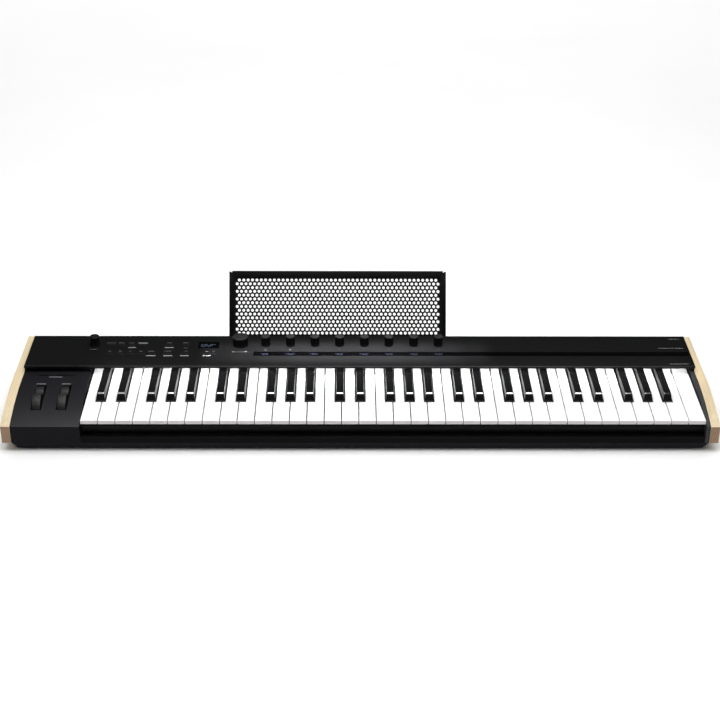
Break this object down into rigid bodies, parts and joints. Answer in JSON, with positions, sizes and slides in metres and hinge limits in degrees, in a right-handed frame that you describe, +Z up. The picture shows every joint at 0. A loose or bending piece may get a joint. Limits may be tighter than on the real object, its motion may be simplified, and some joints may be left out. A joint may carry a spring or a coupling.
{
  "type": "keyboard synthesizer",
  "caption": "Five-octave keyboard synthesizer with wooden ends, thumb wheels, knobs and buttons on a raised panel, and a perforated plug-in stand behind it.",
  "frame": {"origin": "bottom centre of the whole object's box, on the plane the feet stand on", "axes": "+X to the player's right along the keys, +Y to the back, +Z up"},
  "size_m": [0.974, 0.2708, 0.1432],
  "materials": {
    "tray_plastic": "fine texture",
    "housing_plastic": "fine texture",
    "panel_metal": "satin powder coat",
    "wood": "clear lacquered ash",
    "white_key_plastic": "gloss",
    "black_key_plastic": "gloss",
    "knob_plastic": "knurled side, fine top",
    "button_plastic": "satin",
    "wheel_plastic": "satin",
    "lens_plastic": "gloss smoked",
    "display_glass": "gloss",
    "circuit_board": "solder mask",
    "felt": "felt",
    "rubber": "matt",
    "steel": "zinc plated",
    "chassis_plastic": "moulded",
    "stand_metal": "satin powder coat",
    "socket_plastic": "moulded"
  },
  "bodies": {
    "case": {"bottom_tray": "tray_plastic", "rear_housing": "housing_plastic", "keybed_chassis": "chassis_plastic", "key_felts": "felt", "key_contact_strip": "circuit_board", "case_screws": "steel", "rubber_feet": "rubber", "key_slip": "housing_plastic", "wheel_housing": "housing_plastic", "right_cheek": "housing_plastic", "wooden_end_left": "wood", "wooden_end_right": "wood", "top_panel": "panel_metal", "display_lenses": "lens_plastic", "display_modules": "display_glass", "circuit_boards": "circuit_board", "rear_sockets": "socket_plastic", "wheel_bracket": "steel"},
    "keys_c": {"keys_c": "white_key_plastic"},
    "keys_d": {"keys_d": "white_key_plastic"},
    "keys_e": {"keys_e": "white_key_plastic"},
    "keys_f": {"keys_f": "white_key_plastic"},
    "keys_g": {"keys_g": "white_key_plastic"},
    "keys_a": {"keys_a": "white_key_plastic"},
    "keys_b": {"keys_b": "white_key_plastic"},
    "keys_c_sharp": {"keys_c_sharp": "black_key_plastic"},
    "keys_d_sharp": {"keys_d_sharp": "black_key_plastic"},
    "keys_f_sharp": {"keys_f_sharp": "black_key_plastic"},
    "keys_g_sharp": {"keys_g_sharp": "black_key_plastic"},
    "keys_a_sharp": {"keys_a_sharp": "black_key_plastic"},
    "stand": {"stand": "stand_metal"},
    "pitch_wheel": {"pitch_wheel": "wheel_plastic"},
    "mod_wheel": {"mod_wheel": "wheel_plastic"},
    "volume_knob": {"volume_knob": "knob_plastic"},
    "value_encoder_knob": {"value_encoder_knob": "knob_plastic"},
    "control_knob_1": {"control_knob_1": "knob_plastic"},
    "control_knob_2": {"control_knob_2": "knob_plastic"},
    "control_knob_3": {"control_knob_3": "knob_plastic"},
    "control_knob_4": {"control_knob_4": "knob_plastic"},
    "control_knob_5": {"control_knob_5": "knob_plastic"},
    "control_knob_6": {"control_knob_6": "knob_plastic"},
    "control_knob_7": {"control_knob_7": "knob_plastic"},
    "control_knob_8": {"control_knob_8": "knob_plastic"},
    "function_button_1": {"function_button_1": "button_plastic"},
    "function_button_2": {"function_button_2": "button_plastic"},
    "function_button_3": {"function_button_3": "button_plastic"},
    "function_button_4": {"function_button_4": "button_plastic"},
    "function_button_5": {"function_button_5": "button_plastic"},
    "function_button_6": {"function_button_6": "button_plastic"},
    "function_button_7": {"function_button_7": "button_plastic"},
    "function_button_8": {"function_button_8": "button_plastic"},
    "function_button_9": {"function_button_9": "button_plastic"},
    "mode_button_1": {"mode_button_1": "button_plastic"},
    "mode_button_3": {"mode_button_3": "button_plastic"},
    "mode_button_2": {"mode_button_2": "button_plastic"},
    "mode_button_4": {"mode_button_4": "button_plastic"},
    "page_button_1": {"page_button_1": "button_plastic"},
    "page_button_2": {"page_button_2": "button_plastic"},
    "octave_down_button": {"octave_down_button": "button_plastic"},
    "octave_up_button": {"octave_up_button": "button_plastic"}
  },
  "joints": [
    {"name": "keys_c_press", "type": "hinge", "parent": "case", "child": "keys_c", "pos_m": [0, 0.0506, 0.041], "axis": [1, 0, 0], "range_deg": [0, 3.1], "stiffness_Nm_per_rad": 1.2, "springref_deg": -28.65},
    {"name": "keys_d_press", "type": "hinge", "parent": "case", "child": "keys_d", "pos_m": [0, 0.0506, 0.041], "axis": [1, 0, 0], "range_deg": [0, 3.1], "stiffness_Nm_per_rad": 1.2, "springref_deg": -28.65},
    {"name": "keys_e_press", "type": "hinge", "parent": "case", "child": "keys_e", "pos_m": [0, 0.0506, 0.041], "axis": [1, 0, 0], "range_deg": [0, 3.1], "stiffness_Nm_per_rad": 1.2, "springref_deg": -28.65},
    {"name": "keys_f_press", "type": "hinge", "parent": "case", "child": "keys_f", "pos_m": [0, 0.0506, 0.041], "axis": [1, 0, 0], "range_deg": [0, 3.1], "stiffness_Nm_per_rad": 1.2, "springref_deg": -28.65},
    {"name": "keys_g_press", "type": "hinge", "parent": "case", "child": "keys_g", "pos_m": [0, 0.0506, 0.041], "axis": [1, 0, 0], "range_deg": [0, 3.1], "stiffness_Nm_per_rad": 1.2, "springref_deg": -28.65},
    {"name": "keys_a_press", "type": "hinge", "parent": "case", "child": "keys_a", "pos_m": [0, 0.0506, 0.041], "axis": [1, 0, 0], "range_deg": [0, 3.1], "stiffness_Nm_per_rad": 1.2, "springref_deg": -28.65},
    {"name": "keys_b_press", "type": "hinge", "parent": "case", "child": "keys_b", "pos_m": [0, 0.0506, 0.041], "axis": [1, 0, 0], "range_deg": [0, 3.1], "stiffness_Nm_per_rad": 1.2, "springref_deg": -28.65},
    {"name": "keys_c_sharp_press", "type": "hinge", "parent": "case", "child": "keys_c_sharp", "pos_m": [0, 0.0506, 0.041], "axis": [1, 0, 0], "range_deg": [0, 3.1], "stiffness_Nm_per_rad": 1.2, "springref_deg": -28.65},
    {"name": "keys_d_sharp_press", "type": "hinge", "parent": "case", "child": "keys_d_sharp", "pos_m": [0, 0.0506, 0.041], "axis": [1, 0, 0], "range_deg": [0, 3.1], "stiffness_Nm_per_rad": 1.2, "springref_deg": -28.65},
    {"name": "keys_f_sharp_press", "type": "hinge", "parent": "case", "child": "keys_f_sharp", "pos_m": [0, 0.0506, 0.041], "axis": [1, 0, 0], "range_deg": [0, 3.1], "stiffness_Nm_per_rad": 1.2, "springref_deg": -28.65},
    {"name": "keys_g_sharp_press", "type": "hinge", "parent": "case", "child": "keys_g_sharp", "pos_m": [0, 0.0506, 0.041], "axis": [1, 0, 0], "range_deg": [0, 3.1], "stiffness_Nm_per_rad": 1.2, "springref_deg": -28.65},
    {"name": "keys_a_sharp_press", "type": "hinge", "parent": "case", "child": "keys_a_sharp", "pos_m": [0, 0.0506, 0.041], "axis": [1, 0, 0], "range_deg": [0, 3.1], "stiffness_Nm_per_rad": 1.2, "springref_deg": -28.65},
    {"name": "pitch_wheel_turn", "type": "hinge", "parent": "case", "child": "pitch_wheel", "pos_m": [-0.4437, -0.0747, 0.0262], "axis": [1, 0, 0], "range_deg": [-30, 30], "stiffness_Nm_per_rad": 0.06},
    {"name": "mod_wheel_turn", "type": "hinge", "parent": "case", "child": "mod_wheel", "pos_m": [-0.4091, -0.0747, 0.0262], "axis": [1, 0, 0], "range_deg": [-30, 30]},
    {"name": "volume_knob_turn", "type": "hinge", "parent": "case", "child": "volume_knob", "pos_m": [-0.3825, 0.04659, 0.064], "axis": [0, 0, 1], "range_deg": [-150, 150]},
    {"name": "value_encoder_knob_turn", "type": "hinge", "parent": "case", "child": "value_encoder_knob", "pos_m": [-0.1727, 0.04659, 0.064], "axis": [0, 0, 1], "continuous": true},
    {"name": "control_knob_1_turn", "type": "hinge", "parent": "case", "child": "control_knob_1", "pos_m": [-0.1364, 0.04659, 0.064], "axis": [0, 0, 1], "continuous": true},
    {"name": "control_knob_2_turn", "type": "hinge", "parent": "case", "child": "control_knob_2", "pos_m": [-0.10079, 0.04659, 0.064], "axis": [0, 0, 1], "continuous": true},
    {"name": "control_knob_3_turn", "type": "hinge", "parent": "case", "child": "control_knob_3", "pos_m": [-0.06518, 0.04659, 0.064], "axis": [0, 0, 1], "continuous": true},
    {"name": "control_knob_4_turn", "type": "hinge", "parent": "case", "child": "control_knob_4", "pos_m": [-0.02957, 0.04659, 0.064], "axis": [0, 0, 1], "continuous": true},
    {"name": "control_knob_5_turn", "type": "hinge", "parent": "case", "child": "control_knob_5", "pos_m": [0.00604, 0.04659, 0.064], "axis": [0, 0, 1], "continuous": true},
    {"name": "control_knob_6_turn", "type": "hinge", "parent": "case", "child": "control_knob_6", "pos_m": [0.04165, 0.04659, 0.064], "axis": [0, 0, 1], "continuous": true},
    {"name": "control_knob_7_turn", "type": "hinge", "parent": "case", "child": "control_knob_7", "pos_m": [0.07726, 0.04659, 0.064], "axis": [0, 0, 1], "continuous": true},
    {"name": "control_knob_8_turn", "type": "hinge", "parent": "case", "child": "control_knob_8", "pos_m": [0.11287, 0.04659, 0.064], "axis": [0, 0, 1], "continuous": true},
    {"name": "function_button_1_press", "type": "slide", "parent": "case", "child": "function_button_1", "axis": [0, 0, -1], "range_m": [0, 0.0006], "stiffness_N_per_m": 800, "springref_m": -0.0005},
    {"name": "function_button_2_press", "type": "slide", "parent": "case", "child": "function_button_2", "axis": [0, 0, -1], "range_m": [0, 0.0006], "stiffness_N_per_m": 800, "springref_m": -0.0005},
    {"name": "function_button_3_press", "type": "slide", "parent": "case", "child": "function_button_3", "axis": [0, 0, -1], "range_m": [0, 0.0006], "stiffness_N_per_m": 800, "springref_m": -0.0005},
    {"name": "function_button_4_press", "type": "slide", "parent": "case", "child": "function_button_4", "axis": [0, 0, -1], "range_m": [0, 0.0006], "stiffness_N_per_m": 800, "springref_m": -0.0005},
    {"name": "function_button_5_press", "type": "slide", "parent": "case", "child": "function_button_5", "axis": [0, 0, -1], "range_m": [0, 0.0006], "stiffness_N_per_m": 800, "springref_m": -0.0005},
    {"name": "function_button_6_press", "type": "slide", "parent": "case", "child": "function_button_6", "axis": [0, 0, -1], "range_m": [0, 0.0006], "stiffness_N_per_m": 800, "springref_m": -0.0005},
    {"name": "function_button_7_press", "type": "slide", "parent": "case", "child": "function_button_7", "axis": [0, 0, -1], "range_m": [0, 0.0006], "stiffness_N_per_m": 800, "springref_m": -0.0005},
    {"name": "function_button_8_press", "type": "slide", "parent": "case", "child": "function_button_8", "axis": [0, 0, -1], "range_m": [0, 0.0006], "stiffness_N_per_m": 800, "springref_m": -0.0005},
    {"name": "function_button_9_press", "type": "slide", "parent": "case", "child": "function_button_9", "axis": [0, 0, -1], "range_m": [0, 0.0006], "stiffness_N_per_m": 800, "springref_m": -0.0005},
    {"name": "mode_button_1_press", "type": "slide", "parent": "case", "child": "mode_button_1", "axis": [0, 0, -1], "range_m": [0, 0.0006], "stiffness_N_per_m": 800, "springref_m": -0.0005},
    {"name": "mode_button_3_press", "type": "slide", "parent": "case", "child": "mode_button_3", "axis": [0, 0, -1], "range_m": [0, 0.0006], "stiffness_N_per_m": 800, "springref_m": -0.0005},
    {"name": "mode_button_2_press", "type": "slide", "parent": "case", "child": "mode_button_2", "axis": [0, 0, -1], "range_m": [0, 0.0006], "stiffness_N_per_m": 800, "springref_m": -0.0005},
    {"name": "mode_button_4_press", "type": "slide", "parent": "case", "child": "mode_button_4", "axis": [0, 0, -1], "range_m": [0, 0.0006], "stiffness_N_per_m": 800, "springref_m": -0.0005},
    {"name": "page_button_1_press", "type": "slide", "parent": "case", "child": "page_button_1", "axis": [0, 0, -1], "range_m": [0, 0.0006], "stiffness_N_per_m": 800, "springref_m": -0.0005},
    {"name": "page_button_2_press", "type": "slide", "parent": "case", "child": "page_button_2", "axis": [0, 0, -1], "range_m": [0, 0.0006], "stiffness_N_per_m": 800, "springref_m": -0.0005},
    {"name": "octave_down_button_press", "type": "slide", "parent": "case", "child": "octave_down_button", "axis": [0, 0, -1], "range_m": [0, 0.0006], "stiffness_N_per_m": 800, "springref_m": -0.0005},
    {"name": "octave_up_button_press", "type": "slide", "parent": "case", "child": "octave_up_button", "axis": [0, 0, -1], "range_m": [0, 0.0006], "stiffness_N_per_m": 800, "springref_m": -0.0005},
    {"name": "stand_lift", "type": "slide", "parent": "case", "child": "stand", "axis": [0, 0, 1], "range_m": [0, 0.03]}
  ]
}
